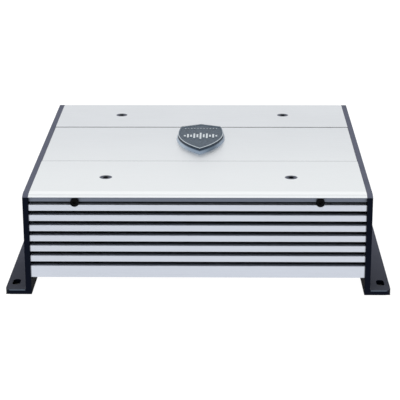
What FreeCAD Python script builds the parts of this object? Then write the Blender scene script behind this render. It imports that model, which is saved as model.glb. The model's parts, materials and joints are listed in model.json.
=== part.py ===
import FreeCAD, Part
import math
import os

# A two-channel car amplifier on the bench: a finned aluminium case between two black end brackets.
#
# Frame: X runs along the extrusions, left bracket to right bracket, Y from the front fins to the rear
# fins, Z up. The origin is at the middle of the footprint, on the mounting surface. Millimetres.
# The left (-X) end carries the power side, the right (+X) end carries the signal side.

V = FreeCAD.Vector

# ---- Driving dimensions -------------------------------------------------------------------------
SPAN = 228.0          # over the outer faces of the two end brackets
DEPTH = 237.8         # front nose to rear nose
HEIGHT = 69.1         # mounting surface to the top panels
GROUND_GAP = 12.15    # mounting surface to the underside of the case
BRACKET_T, FOOT_T = 3.8, 3.2    # thickness of each bracket's plate and of its foot
FOOT_W = 13.8         # how far each foot stands out of its plate
FOOT_CORNER = 4.0

FRONT_SEAM_Y, REAR_SEAM_Y = 40.6, 48.2    # |Y| of the joints on each side of the centre top panel
SEAM_GAP = 0.9
PANEL_T = 2.5
CENTRE_DROP = 0.15    # the centre panel sits this much lower than its neighbours
TONGUE = 3.0
TONGUE_T = 0.8

FIN_COUNT = 6
FIN_TOP = 62.6        # top face of the uppermost fin
FIN_PITCH = 7.05
FIN_T = 4.25
FIN_DEPTH = 12.0
FIN_ROUND = 0.5
WALL_T = 4.5
SHELF_T = 5.1
SHELF_END = 36.0      # |Y| where the heatsink's inner shelf stops
LEDGE_END = 93.0      # |Y| where the rail's inner ledge stops
BOTTOM_T = 1.6
PORT_R, PORT_BOSS_R = 1.8, 3.6
PORT_Y = 98.9
PORT_Z = (22.8, 57.3)

NOSE_RUN, NOSE_DROP = 6.0, 1.6    # the rounded nose's length and fall
LIP_Z = 67.15                     # underside of the overhanging nose
FLANGE_IN, FLANGE_T = 2.5, 3.2    # the panel's flange stands back from the nose
FLANGE_Z = 64.0

TOP_SCREW_X, FRONT_SCREW_Y, REAR_SCREW_Y = 62.5, 79.0, 83.5
LIP_SCREW_X = 80.0
LIP_SCREW_Z = 64.3
SLOT_X, SLOT_Y = 122.0, 104.5
SLOT_W, SLOT_L = 5.2, 10.0

BOTTOM_SCREW_X, BOTTOM_SCREW_Y = (-98.0, 0.0, 98.0), 96.5
VENT_COUNT, VENT_PITCH, VENT_W, VENT_L = 7, 12.0, 3.6, 46.0
VENT_X = 56.0

# Badge: a shield plate on a plinth, both centred on X = 0
BADGE_HALF_W, BADGE_CORNER_X = 16.4, 14.9
BADGE_TIP_Y, BADGE_SIDE_Y, BADGE_CORNER_Y, BADGE_PEAK_Y = -22.4, 13.0, 35.8, 42.7
BADGE_FLANK = 1.1     # how far the plinth's foot stands out round the plate
BADGE_NECK = 0.5      # how far the shadow gap under the plate goes in
BADGE_H = 4.2         # plate's rim above the centre panel
PLATE_T, RIM_W, RIM_H = 0.5, 1.0, 0.5
BADGE_STUD_Y = (-6.0, 24.0)
METER_PITCH, METER_W, METER_Y, METER_H = 2.3, 1.3, 10.5, 0.35
METER_LENGTHS = (16.0, 8.0, 12.0, 5.5, 9.0, 3.5)     # from the middle bar outwards
PIP_Y, PIP_PITCH, PIP_COUNT = 30.2, 2.3, 11

# Circuit board and what stands on it
BOARD_Z, BOARD_T = 28.0, 1.6
STANDOFF_X, STANDOFF_Y = (-92.0, 0.0, 92.0), (-84.0, 84.0)
DEVICE_X = (-75.0, -45.0, -15.0, 15.0, 45.0, 75.0)
DEVICE_W, DEVICE_T, DEVICE_Z = 15.8, 4.8, (33.0, 53.0)
PAD_T, CLAMP_T, CLAMP_Z = 0.4, 3.0, 44.0
CLAMP_SCREW_X = (-60.0, -30.0, 0.0, 30.0, 60.0)
TRANSFORMER = (-28.0, -12.0)
CHOKE = (-72.0, 60.0)

# Power end
POWER_TERMINALS = (("positive", 84.0), ("ground", 66.5), ("remote", 51.5))
SPEAKER_TERMINALS = (2.0, -8.5, -19.0, -29.5)
FUSE_Y = (31.0, 21.0)
POWER_WINDOW = (42.5, 94.5, 50.5)        # y0, y1 and top z of each housing
SPEAKER_WINDOW = (-36.0, 8.5, 46.0)
FUSE_WINDOW = (13.5, 38.5, 53.5)
BLOCK_OUT, BLOCK_IN = -114.1, -96.0      # every housing's face is flush with the bracket
BLOCK_WALL, BLOCK_CEILING, BLOCK_SILL = 2.0, 1.6, 1.0
POWER_BORE_Z, POWER_BORE_R, POWER_SCREW_Z, POWER_SCREW_R = 36.2, 4.1, 45.0, 3.0
SPEAKER_BORE_Z, SPEAKER_BORE_R, SPEAKER_SCREW_Z, SPEAKER_SCREW_R = 34.6, 2.3, 41.0, 2.0
WIRE_DEPTH = 12.0
SET_SCREW_OUT, SET_SCREW_L, SET_SCREW_TRAVEL = -113.3, 7.0, 4.0
FUSE_Z, FUSE_SEAT, FUSE_BODY_L, FUSE_HOLDER_IN = 41.6, -101.1, 12.5, -91.5
BLADE_Z = 7.2                            # each blade's distance from the fuse's middle

# Signal end
KNOBS = (("level", -74.0), ("highpass", -52.0), ("lowpass", -30.0), ("bass", -8.0))
SWITCHES = (("crossover", -63.0), ("input", -19.0))
RCA_Y, RCA_Z = (26.0, 42.0), (37.5, 53.5)
REMOTE_JACK_Y, REMOTE_JACK_Z = 66.0, 45.0
LED_Y, LED_Z = -88.0, (38.0, 45.0)
CONTROL_X, CONTROL_T = 96.0, 1.6
RCA_SEAT, RCA_R = 104.6, 4.15            # bottom of the recess that the phono sockets stand in
RCA_RECESS = (18.4, 49.6, 31.0, 58.9)    # y0, y1, z0, z1
KNOB_Z, KNOB_R, POT_T = 48.0, 4.3, 9.0
SWITCH_Z, SWITCH_SLOT = 36.0, 8.4

# ---- Derived dimensions -------------------------------------------------------------------------
HALF_SPAN = SPAN / 2
HALF_BODY = HALF_SPAN - BRACKET_T
NOSE_Y = DEPTH / 2
PANEL_UNDER = HEIGHT - PANEL_T
SHELF_UNDER = PANEL_UNDER - SHELF_T
RAIL_TOP = FIN_TOP - FIN_COUNT * FIN_PITCH
BOTTOM_TOP = GROUND_GAP + 0.1 + BOTTOM_T
WALL_OUT = NOSE_Y - FIN_DEPTH
WALL_IN = WALL_OUT - WALL_T
BOARD_TOP = BOARD_Z + BOARD_T
CENTRE_TOP = HEIGHT - CENTRE_DROP
DEVICE_BACK = WALL_IN - PAD_T
DEVICE_FACE = DEVICE_BACK - DEVICE_T
STANDOFFS = [(x, y) for x in STANDOFF_X for y in STANDOFF_Y]
CONTROL_FACE = CONTROL_X + CONTROL_T
KNOB_OUT = HALF_SPAN - 0.4
RCA_OUT = HALF_SPAN - 0.1


# ---- Small helpers ------------------------------------------------------------------------------
def box(x0, x1, y0, y1, z0, z1):
    return Part.makeBox(x1 - x0, y1 - y0, z1 - z0, V(x0, y0, z0))


def rod(radius, start, end):
    """A cylinder from one point to another."""
    a, b = V(*start), V(*end)
    return Part.makeCylinder(radius, (b - a).Length, a, b - a)


def cone(r0, r1, start, end):
    a, b = V(*start), V(*end)
    return Part.makeCone(r0, r1, (b - a).Length, a, b - a)


def hexagon(across_flats, start, end):
    """A hexagonal prism from one point to another."""
    a, b = V(*start), V(*end)
    axis = (b - a).normalize()
    side = axis.cross(V(0, 0, 1)) if abs(axis.z) < 0.9 else V(1, 0, 0)
    up = axis.cross(side)
    radius = across_flats / math.sqrt(3)
    corners = []
    for k in range(7):
        turn = math.radians(60 * k)
        corners.append(a + side * (radius * math.cos(turn)) + up * (radius * math.sin(turn)))
    return Part.Face(Part.makePolygon(corners)).extrude(V(*end) - V(*start))


def join(first, *others):
    return first.fuse(list(others)).removeSplitter() if others else first


def cut(shape, *tools):
    return shape.cut(list(tools)) if tools else shape


def mirrored_y(shape):
    """The same piece on the other side, front to rear."""
    return shape.mirror(V(0, 0, 0), V(0, 1, 0))


def mirrored_x(shape):
    """The same piece at the other end, left to right."""
    return shape.mirror(V(0, 0, 0), V(1, 0, 0))


def prism_x(outline, x0, x1):
    """A closed (y, z) outline drawn out along X."""
    points = [V(x0, y, z) for y, z in outline]
    return Part.Face(Part.makePolygon(points + points[:1])).extrude(V(x1 - x0, 0, 0))


def rounded_box(x0, x1, y0, y1, z0, z1, radius, axis):
    """A box whose edges along one axis are rounded."""
    solid = box(x0, x1, y0, y1, z0, z1)
    edges = []
    for edge in solid.Edges:
        a, b = edge.Vertexes[0].Point, edge.Vertexes[1].Point
        if abs(abs((b - a).normalize()[axis]) - 1) < 1e-6:
            edges.append(edge)
    return solid.makeFillet(radius, edges)


def torus_ring(radius_in, radius_out, z0, z1, cx, cy, rounding):
    ring = cut(rod(radius_out, (cx, cy, z0), (cx, cy, z1)),
               rod(radius_in, (cx, cy, z0 - 1), (cx, cy, z1 + 1)))
    circles = [e for e in ring.Edges if isinstance(e.Curve, Part.Circle)]
    return ring.makeFillet(rounding, circles)


def group(shapes):
    """Separate solids that share one node."""
    return Part.makeCompound([s for shape in shapes for s in shape.Solids])


# ---- Case: heatsinks, panels, brackets ----------------------------------------------------------
def countersunk_screw(head_r, shank_r, head_h, length, socket, top, direction):
    """A flat-head hex screw. top is the middle of its face, direction points into the work."""
    top, d = V(*top), V(*direction)
    head_end, tip = top + d * head_h, top + d * length
    solid = join(cone(head_r, shank_r, tuple(top), tuple(head_end)),
                 rod(shank_r, tuple(head_end), tuple(tip)))
    return cut(solid, hexagon(socket, tuple(top - d * 0.1), tuple(top + d * head_h * 0.95)))


def cap_screw(head_r, head_h, shank_r, length, socket, face, direction):
    """A socket-head screw. face is the middle of its head's outer face."""
    face, d = V(*face), V(*direction)
    seat, tip = face + d * head_h, face + d * (head_h + length)
    head = rod(head_r, tuple(face), tuple(seat))
    head = head.makeChamfer(0.3, [e for e in head.Edges if (e.CenterOfMass - face).Length < 0.01])
    solid = join(head, rod(shank_r, tuple(seat), tuple(tip)))
    return cut(solid, hexagon(socket, tuple(face - d * 0.1), tuple(face + d * head_h * 0.6)))


def heatsink(screw_y):
    """The front extrusion: rail, fins, wall and inner shelf, with a screw port in each corner."""
    outline = [(0, GROUND_GAP), (0, RAIL_TOP), (FIN_DEPTH, RAIL_TOP)]
    for k in reversed(range(FIN_COUNT)):
        top = FIN_TOP - k * FIN_PITCH
        outline += [(FIN_DEPTH, top - FIN_T), (0, top - FIN_T), (0, top)]
        if k:
            outline.append((FIN_DEPTH, top))
    shelf_front = FLANGE_IN + FLANGE_T + 0.2
    wall_in = FIN_DEPTH + WALL_T
    outline += [(shelf_front, FIN_TOP), (shelf_front, PANEL_UNDER), (NOSE_Y - SHELF_END, PANEL_UNDER),
                (NOSE_Y - SHELF_END, SHELF_UNDER), (wall_in, SHELF_UNDER), (wall_in, RAIL_TOP),
                (NOSE_Y - LEDGE_END, RAIL_TOP), (NOSE_Y - LEDGE_END, BOTTOM_TOP),
                (wall_in, BOTTOM_TOP), (wall_in, GROUND_GAP)]
    solid = prism_x([(u - NOSE_Y, z) for u, z in outline], -HALF_BODY, HALF_BODY)
    tips = [e for e in solid.Edges
            if e.Length > HALF_BODY and abs(e.CenterOfMass.y + NOSE_Y) < 0.01]
    solid = solid.makeFillet(FIN_ROUND, tips)
    ports = [rod(PORT_BOSS_R, (-HALF_BODY, -PORT_Y, z), (HALF_BODY, -PORT_Y, z)) for z in PORT_Z]
    solid = join(solid, *ports)
    holes = [rod(PORT_R, (-HALF_BODY - 1, -PORT_Y, z), (HALF_BODY + 1, -PORT_Y, z)) for z in PORT_Z]
    for x in (-LIP_SCREW_X, LIP_SCREW_X):
        holes.append(rod(1.55, (x, -NOSE_Y + shelf_front - 1, LIP_SCREW_Z), (x, -NOSE_Y + 11.8, LIP_SCREW_Z)))
        holes.append(rod(3.1, (x, -NOSE_Y - 1, LIP_SCREW_Z), (x, -NOSE_Y + FLANGE_IN + 0.2, LIP_SCREW_Z)))
    holes += [rod(1.55, (x, -WALL_IN + 1, CLAMP_Z), (x, -WALL_IN - 4.0, CLAMP_Z)) for x in CLAMP_SCREW_X]
    holes += [rod(2.05, (x, -screw_y, SHELF_UNDER - 1), (x, -screw_y, PANEL_UNDER + 1))
              for x in (-TOP_SCREW_X, TOP_SCREW_X)]
    holes += [rod(1.3, (x, -BOTTOM_SCREW_Y, BOTTOM_TOP - 1), (x, -BOTTOM_SCREW_Y, RAIL_TOP - 0.8))
              for x in BOTTOM_SCREW_X]
    return cut(solid, *holes)


def top_panel(seam_y, screw_y):
    """The front top panel, from its rounded nose to the seam, with a flange that hangs in front."""
    nose_arc = Part.Arc(V(0, -NOSE_Y, HEIGHT - NOSE_DROP),
                        V(0, *nose_point(0.5)),
                        V(0, -NOSE_Y + NOSE_RUN, HEIGHT)).toShape()
    edge = -seam_y - SEAM_GAP / 2
    back = -NOSE_Y + FLANGE_IN
    under = [(-NOSE_Y + NOSE_RUN, HEIGHT), (edge, HEIGHT), (edge, PANEL_UNDER + TONGUE_T + 0.1),
             (edge - TONGUE - 0.2, PANEL_UNDER + TONGUE_T + 0.1), (edge - TONGUE - 0.2, PANEL_UNDER),
             (back + FLANGE_T, PANEL_UNDER), (back + FLANGE_T, FLANGE_Z), (back, FLANGE_Z),
             (back, LIP_Z), (-NOSE_Y + 0.3, LIP_Z), (-NOSE_Y, LIP_Z + 0.3), (-NOSE_Y, HEIGHT - NOSE_DROP)]
    lines = Part.makePolygon([V(0, y, z) for y, z in under])
    profile = Part.Face(Part.Wire([nose_arc] + lines.Edges))
    panel = profile.extrude(V(2 * HALF_BODY, 0, 0))
    panel.translate(V(-HALF_BODY, 0, 0))
    tools = []
    for x in (-TOP_SCREW_X, TOP_SCREW_X):
        tools.append(cone(2.1, 4.1, (x, -screw_y, HEIGHT - 2.0), (x, -screw_y, HEIGHT)))
        tools.append(rod(2.1, (x, -screw_y, PANEL_UNDER - 1), (x, -screw_y, HEIGHT)))
    for x in (-LIP_SCREW_X, LIP_SCREW_X):
        tools.append(rod(1.65, (x, back - 0.5, LIP_SCREW_Z), (x, back + FLANGE_T + 0.5, LIP_SCREW_Z)))
        tools.append(box(x - 1.65, x + 1.65, back - 0.5, back + FLANGE_T + 0.5, FLANGE_Z - 1, LIP_SCREW_Z))
    return cut(panel, *tools)


def nose_point(share):
    """A (y, z) point on the nose's arc, which leaves the top face tangentially."""
    radius = (NOSE_RUN ** 2 + NOSE_DROP ** 2) / (2 * NOSE_DROP)
    turn = share * math.asin(NOSE_RUN / radius)
    return (-NOSE_Y + NOSE_RUN - radius * math.sin(turn), HEIGHT - radius * (1 - math.cos(turn)))


def centre_panel():
    y0, y1 = -FRONT_SEAM_Y + SEAM_GAP / 2, REAR_SEAM_Y - SEAM_GAP / 2
    plate = box(-HALF_BODY, HALF_BODY, y0, y1, PANEL_UNDER, CENTRE_TOP)
    tongues = box(-HALF_BODY, HALF_BODY, y0 - TONGUE, y1 + TONGUE, PANEL_UNDER, PANEL_UNDER + TONGUE_T)
    studs = [rod(1.6, (0, y, PANEL_UNDER - 1), (0, y, CENTRE_TOP + 1)) for y in BADGE_STUD_Y]
    return cut(join(plate, tongues), *studs)


def bracket_blank():
    """The left bracket with no cut-outs: an upright plate and a foot turned outwards."""
    x0 = -HALF_SPAN
    arcs = [Part.Arc(V(x0, s * -NOSE_Y, HEIGHT - NOSE_DROP),
                     V(x0, s * nose_point(0.5)[0], nose_point(0.5)[1]),
                     V(x0, s * (-NOSE_Y + NOSE_RUN), HEIGHT)).toShape() for s in (1, -1)]
    top = Part.makeLine(V(x0, -NOSE_Y + NOSE_RUN, HEIGHT), V(x0, NOSE_Y - NOSE_RUN, HEIGHT))
    rest = Part.makePolygon([V(x0, NOSE_Y, HEIGHT - NOSE_DROP), V(x0, NOSE_Y, 0), V(x0, -NOSE_Y, 0),
                             V(x0, -NOSE_Y, HEIGHT - NOSE_DROP)])
    edges = Part.__sortEdges__([arcs[0], top, arcs[1]] + rest.Edges)
    plate = Part.Face(Part.Wire(edges)).extrude(V(BRACKET_T, 0, 0))
    foot = box(x0 - FOOT_W, x0, -NOSE_Y, NOSE_Y, 0, FOOT_T)
    corners = [e for e in foot.Edges
               if abs(e.CenterOfMass.x - x0 + FOOT_W) < 0.01 and abs(e.CenterOfMass.z - FOOT_T / 2) < 0.01
               and e.Length < FOOT_T + 0.01]
    solid = join(plate, foot.makeFillet(FOOT_CORNER, corners))
    inner = [e for e in solid.Edges if e.Length > DEPTH * 0.9
             and abs(e.CenterOfMass.x - x0) < 0.01 and abs(e.CenterOfMass.z - FOOT_T) < 0.01]
    solid = solid.makeFillet(1.2, inner)
    tools = []
    for y in (-SLOT_Y, SLOT_Y):
        slot = rounded_box(-SLOT_X - SLOT_W / 2, -SLOT_X + SLOT_W / 2, y - SLOT_L / 2, y + SLOT_L / 2,
                           -1, FOOT_T + 1, SLOT_W / 2 - 0.001, 2)
        tools.append(slot)
    for y in (-PORT_Y, PORT_Y):
        for z in PORT_Z:
            tools.append(cone(4.0, 2.1, (x0, y, z), (x0 + 2.0, y, z)))
            tools.append(rod(2.1, (x0 - 1, y, z), (x0 + BRACKET_T + 1, y, z)))
    return cut(solid, *tools)


def left_bracket():
    x0, x1 = -HALF_SPAN - 1, -HALF_BODY + 1
    windows = []
    for y0, y1, z1 in (POWER_WINDOW, SPEAKER_WINDOW, FUSE_WINDOW):
        windows.append(rounded_box(x0, x1, y0 - 0.3, y1 + 0.3, BOARD_TOP - 0.3, z1 + 0.3, 1.0, 0))
    return cut(bracket_blank(), *windows)


def right_bracket():
    x0, x1 = HALF_BODY - 1, HALF_SPAN + 1
    tools = [rod(KNOB_R + 0.5, (x0, y, KNOB_Z), (x1, y, KNOB_Z)) for _, y in KNOBS]
    tools += [box(x0, x1, y - SWITCH_SLOT / 2, y + SWITCH_SLOT / 2, SWITCH_Z - 1.9, SWITCH_Z + 1.9)
              for _, y in SWITCHES]
    y0, y1 = RCA_Y[0] - 9.3, RCA_Y[1] + 9.3
    tools.append(rounded_box(x0, x1, y0, y1, BOARD_TOP - 0.3, RCA_Z[1] + 7.1, 1.0, 0))
    tools.append(rod(3.1, (x0, REMOTE_JACK_Y, REMOTE_JACK_Z), (x1, REMOTE_JACK_Y, REMOTE_JACK_Z)))
    tools += [rod(1.55, (x0, LED_Y, z), (x1, LED_Y, z)) for z in LED_Z]
    return cut(mirrored_x(bracket_blank()), *tools)


def bottom_plate():
    """A pressed steel plate between the rails, with two fields of cooling slots."""
    plate = box(-HALF_BODY + 0.2, HALF_BODY - 0.2, -WALL_IN + 0.3, WALL_IN - 0.3,
                GROUND_GAP + 0.1, BOTTOM_TOP)
    tools = []
    for x in BOTTOM_SCREW_X:
        for y in (-BOTTOM_SCREW_Y, BOTTOM_SCREW_Y):
            tools.append(cone(2.95, 1.6, (x, y, GROUND_GAP + 0.1), (x, y, GROUND_GAP + 1.3)))
            tools.append(rod(1.6, (x, y, GROUND_GAP), (x, y, BOTTOM_TOP + 1)))
    for field in (-VENT_X, VENT_X):
        for k in range(VENT_COUNT):
            y = (k - (VENT_COUNT - 1) / 2) * VENT_PITCH
            tools.append(rounded_box(field - VENT_L / 2, field + VENT_L / 2, y - VENT_W / 2, y + VENT_W / 2,
                                     GROUND_GAP - 1, BOTTOM_TOP + 1, VENT_W / 2 - 0.001, 2))
    for x, y in STANDOFFS:
        tools.append(rod(1.55, (x, y, GROUND_GAP), (x, y, BOTTOM_TOP + 1)))
    return cut(plate, *tools)


# ---- Badge --------------------------------------------------------------------------------------
def shield_wire(grow, z):
    """A plain shield outline at height z, grown by an even border."""
    def at(x, y):
        return V(x, y, z)
    half, corner_x = BADGE_HALF_W + grow, BADGE_CORNER_X + grow
    tip_y, peak_y, corner_y = BADGE_TIP_Y - 1.4 * grow, BADGE_PEAK_Y + grow, BADGE_CORNER_Y + 0.8 * grow
    belly = (0.735 * half, tip_y + 0.51 * (BADGE_SIDE_Y - tip_y))
    shoulder = (half - 0.1, (BADGE_SIDE_Y + corner_y) / 2)
    corner, side, tip = at(corner_x, corner_y), at(half, BADGE_SIDE_Y), at(0, tip_y)
    left_corner, left_side = at(-corner_x, corner_y), at(-half, BADGE_SIDE_Y)
    return Part.Wire([Part.makeLine(at(0, peak_y), corner),
                      Part.Arc(corner, at(*shoulder), side).toShape(),
                      Part.Arc(side, at(*belly), tip).toShape(),
                      Part.Arc(tip, at(-belly[0], belly[1]), left_side).toShape(),
                      Part.Arc(left_side, at(-shoulder[0], shoulder[1]), left_corner).toShape(),
                      Part.makeLine(left_corner, at(0, peak_y))])


def shield_slab(grow_low, z_low, grow_high, z_high):
    return Part.makeLoft([shield_wire(grow_low, z_low), shield_wire(grow_high, z_high)], True, True)


def badge_base():
    """A cast plinth with sloping flanks and a narrower neck, on two studs through the centre panel."""
    under = CENTRE_TOP + BADGE_H - PLATE_T - RIM_H
    shoulder = under - 0.9
    plinth = shield_slab(BADGE_FLANK, CENTRE_TOP, 0.1, shoulder)
    neck = shield_slab(-BADGE_NECK, shoulder - 0.1, -BADGE_NECK, under)
    studs = [rod(1.5, (0, y, PANEL_UNDER - 4.0), (0, y, CENTRE_TOP + 0.5)) for y in BADGE_STUD_Y]
    return join(plinth, neck, *studs)


def badge_face():
    """A shield plate with a sloping raised rim, a plain row of level-meter bars and a row of pips."""
    under = CENTRE_TOP + BADGE_H - PLATE_T - RIM_H
    floor, rim_top = under + PLATE_T, under + PLATE_T + RIM_H
    rim = cut(shield_slab(0.0, floor, -0.5 * RIM_W, rim_top),
              shield_slab(-RIM_W, floor - 0.1, -RIM_W, rim_top + 0.1))
    raised = []
    for k, length in enumerate(METER_LENGTHS):
        for x in sorted({-k * METER_PITCH, k * METER_PITCH}):
            raised.append(rounded_box(x - METER_W / 2, x + METER_W / 2, METER_Y - length / 2,
                                      METER_Y + length / 2, floor - 0.1, floor + METER_H, 0.5, 2))
    for k in range(PIP_COUNT):
        x = (k - (PIP_COUNT - 1) / 2) * PIP_PITCH
        raised.append(rod(0.45, (x, PIP_Y, floor - 0.1), (x, PIP_Y, floor + METER_H)))
    return join(shield_slab(0.0, under, 0.0, floor), rim, *raised)


def badge_nuts():
    """Press-on nuts that hold the badge's studs under the centre panel."""
    return group([cut(rod(4.0, (0, y, PANEL_UNDER - 1.4), (0, y, PANEL_UNDER)),
                      rod(1.5, (0, y, PANEL_UNDER - 2), (0, y, PANEL_UNDER + 1))) for y in BADGE_STUD_Y])


# ---- Fasteners ----------------------------------------------------------------------------------
def top_screws():
    return group([countersunk_screw(4.0, 2.0, 1.95, 7.05, 3.0, (x, y, HEIGHT - 0.05), (0, 0, -1))
                  for x in (-TOP_SCREW_X, TOP_SCREW_X) for y in (-FRONT_SCREW_Y, REAR_SCREW_Y)])


def lip_screws():
    front = [cap_screw(2.75, 2.4, 1.5, 9.0, 2.5, (x, -NOSE_Y + 0.1, LIP_SCREW_Z), (0, 1, 0))
             for x in (-LIP_SCREW_X, LIP_SCREW_X)]
    return group(front + [mirrored_y(s) for s in front])


def bracket_screws():
    left = [countersunk_screw(3.85, 1.75, 2.0, 14.0, 2.5, (-HALF_SPAN + 0.1, y, z), (1, 0, 0))
            for y in (-PORT_Y, PORT_Y) for z in PORT_Z]
    return group(left + [mirrored_x(s) for s in left])


def bottom_screws():
    return group([countersunk_screw(2.8, 1.25, 1.15, 5.6, 1.8, (x, y, GROUND_GAP + 0.15), (0, 0, 1))
                  for x in BOTTOM_SCREW_X for y in (-BOTTOM_SCREW_Y, BOTTOM_SCREW_Y)])


def standoffs():
    """Hexagonal standoffs pressed into the bottom plate."""
    posts = []
    for x, y in STANDOFFS:
        post = join(hexagon(5.5, (x, y, BOTTOM_TOP), (x, y, BOARD_Z)),
                    rod(1.5, (x, y, GROUND_GAP + 0.3), (x, y, BOTTOM_TOP)))
        posts.append(cut(post, rod(1.55, (x, y, BOARD_Z - 7.5), (x, y, BOARD_Z + 1))))
    return group(posts)


def board_screws():
    return group([cap_screw(2.75, 2.0, 1.45, 7.5, 2.0, (x, y, BOARD_TOP + 2.0), (0, 0, -1))
                  for x, y in STANDOFFS])


# ---- Inside: board, power devices, supply -------------------------------------------------------
def main_board():
    board = box(-HALF_BODY + 1.5, HALF_BODY - 1.5, -WALL_IN + 2, WALL_IN - 2, BOARD_Z, BOARD_TOP)
    holes = [rod(1.6, (x, y, BOARD_Z - 1), (x, y, BOARD_TOP + 1)) for x, y in STANDOFFS]
    return cut(board, *holes)


def thermal_pads():
    pad = box(-86, 86, -WALL_IN, -DEVICE_BACK, 32.0, 53.4)
    pad = cut(pad, *[rod(1.8, (x, -WALL_IN - 1, CLAMP_Z), (x, -DEVICE_BACK + 1, CLAMP_Z))
                     for x in CLAMP_SCREW_X])
    return group([pad, mirrored_y(pad)])


def transistor_row():
    """A row of flat power transistors with three legs each, standing against the wall."""
    row = []
    for x in DEVICE_X:
        body = box(x - DEVICE_W / 2, x + DEVICE_W / 2, -DEVICE_BACK, -DEVICE_FACE, *DEVICE_Z)
        body = cut(body, rod(1.8, (x, -WALL_IN, 49.5), (x, -DEVICE_FACE + 1, 49.5)))
        legs = [box(x + s - 0.6, x + s + 0.6, -DEVICE_FACE - 3.0, -DEVICE_FACE - 2.4, BOARD_TOP, DEVICE_Z[0])
                for s in (-5.4, 0.0, 5.4)]
        row.append(join(body, *legs))
    return row


def clamp_bars():
    bar = box(-86, 86, -DEVICE_FACE, -DEVICE_FACE + CLAMP_T, CLAMP_Z - 4, CLAMP_Z + 4)
    bar = cut(bar, *[rod(1.6, (x, -DEVICE_FACE - 1, CLAMP_Z), (x, -DEVICE_FACE + 4, CLAMP_Z))
                     for x in CLAMP_SCREW_X])
    return group([bar, mirrored_y(bar)])


def clamp_screws():
    front = [cap_screw(2.75, 2.4, 1.5, 11.5, 2.5, (x, -DEVICE_FACE + 5.4, CLAMP_Z), (0, -1, 0))
             for x in CLAMP_SCREW_X]
    return group(front + [mirrored_y(s) for s in front])


def transformer_core():
    x, y = TRANSFORMER
    return cut(rod(21.0, (x, y, BOARD_TOP + 4), (x, y, BOARD_TOP + 20)),
               rod(13.0, (x, y, BOARD_TOP + 3), (x, y, BOARD_TOP + 21)))


def transformer_winding():
    """The copper winding, wrapped all round the ring core."""
    x, y = TRANSFORMER
    return cut(torus_ring(9.5, 24.5, BOARD_TOP + 0.5, BOARD_TOP + 23.5, x, y, 3.0), transformer_core())


def transformer_mount():
    """The plate and bolt that hold the transformer down on the board."""
    x, y = TRANSFORMER
    washer = rod(15.0, (x, y, BOARD_TOP + 23.5), (x, y, BOARD_TOP + 24.7))
    bolt = join(rod(2.0, (x, y, BOARD_TOP), (x, y, BOARD_TOP + 24.7)),
                hexagon(7.0, (x, y, BOARD_TOP + 24.7), (x, y, BOARD_TOP + 27.7)))
    return join(washer, bolt)


def input_choke():
    x, y = CHOKE
    return torus_ring(5.0, 14.0, BOARD_TOP, BOARD_TOP + 13, x, y, 2.5)


def can(x, y, radius, height):
    """An electrolytic capacitor: a can with a rolled groove near its foot and a scored top."""
    solid = rod(radius, (x, y, BOARD_TOP), (x, y, BOARD_TOP + height))
    top = [e for e in solid.Edges if isinstance(e.Curve, Part.Circle) and e.CenterOfMass.z > BOARD_TOP + 1]
    solid = solid.makeFillet(0.8, top)
    groove = cut(rod(radius + 1, (x, y, BOARD_TOP + 2.5), (x, y, BOARD_TOP + 3.7)),
                 rod(radius - 0.5, (x, y, BOARD_TOP + 2), (x, y, BOARD_TOP + 4.2)))
    score = BOARD_TOP + height
    return cut(solid, groove, box(x - radius + 2, x + radius - 2, y - 0.25, y + 0.25, score - 0.3, score + 1),
               box(x - 0.25, x + 0.25, y - radius + 2, y + radius - 2, score - 0.3, score + 1))


def rail_capacitors():
    return group([can(x, y, 8.0, 30.0) for x in (14.0, 33.0, 52.0) for y in (-66.0, -46.0)])


def input_capacitors():
    return group([can(x, 68.0, 6.3, 24.0) for x in (-42.0, -26.0, -10.0, 6.0)])


def sense_resistors():
    return group([box(x - 7, x + 7, -83.5, -78.0, BOARD_TOP, BOARD_TOP + 9)
                  for x in (-62.0, -32.0, 28.0, 58.0)])


def driver_board():
    """An upright board with the driver stage, its chips and its header."""
    board = box(10.0, 62.0, 12.0, 13.6, BOARD_TOP, BOARD_TOP + 26)
    chips = [box(x, x + 9, 9.8, 12.0, BOARD_TOP + 9, BOARD_TOP + 19) for x in (14.0, 30.0, 46.0)]
    header = box(16.0, 56.0, 9.2, 12.0, BOARD_TOP, BOARD_TOP + 4)
    return join(board, header, *chips)


# ---- Power end: terminals and fuses -------------------------------------------------------------
def power_clamp_sizes():
    """(y, half width, bore radius, screw radius) for each power terminal."""
    large, small = (6.0, POWER_BORE_R, POWER_SCREW_R), (4.5, SPEAKER_BORE_R, SPEAKER_SCREW_R)
    return [(y, *(small if name == "remote" else large)) for name, y in POWER_TERMINALS]


def speaker_clamp_sizes():
    return [(y, 4.0, SPEAKER_BORE_R, SPEAKER_SCREW_R) for y in SPEAKER_TERMINALS]


def terminal_housing(window, sizes):
    """A moulded block, open underneath, with a window in its face for every clamp, above a low sill."""
    y0, y1, top = window
    shell = rounded_box(BLOCK_OUT, BLOCK_IN, y0, y1, BOARD_TOP, top, 0.8, 0)
    ceiling = top - BLOCK_CEILING
    tools = []
    for y, half, _, _ in sizes:
        tools.append(box(BLOCK_OUT + BLOCK_WALL, BLOCK_IN - BLOCK_WALL, y - half, y + half,
                         BOARD_TOP - 1, ceiling))
        tools.append(box(BLOCK_OUT - 1, BLOCK_OUT + BLOCK_WALL + 1, y - half, y + half,
                         BOARD_TOP + BLOCK_SILL, ceiling))
    return cut(shell, *tools)


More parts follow.
